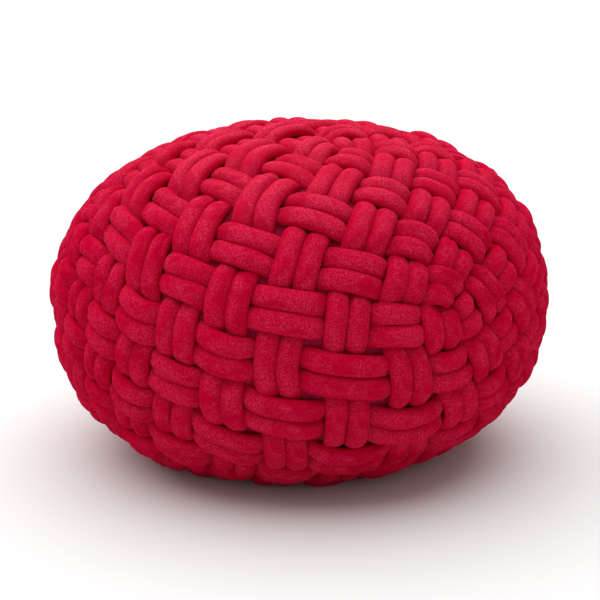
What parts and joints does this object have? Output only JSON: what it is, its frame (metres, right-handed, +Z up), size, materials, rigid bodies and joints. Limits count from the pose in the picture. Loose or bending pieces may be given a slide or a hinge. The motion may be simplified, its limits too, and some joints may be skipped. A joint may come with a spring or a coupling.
{
  "type": "rope pouf",
  "caption": "Soft round floor pouf, a flattened ball covered all over by a plain weave of paired stuffed ropes, with a flat spot to stand on.",
  "frame": {"origin": "middle of the flat spot under the pouf, at the bottom centre of its box", "axes": "+Z up through the middle of the pouf, -Y towards the front that the picture shows, +X to the right seen from the front"},
  "size_m": [0.4986, 0.4996, 0.3328],
  "materials": {
    "jersey_rope": "matte heathered red knit"
  },
  "bodies": {
    "root": {"pouf": "jersey_rope"}
  },
  "joints": []
}
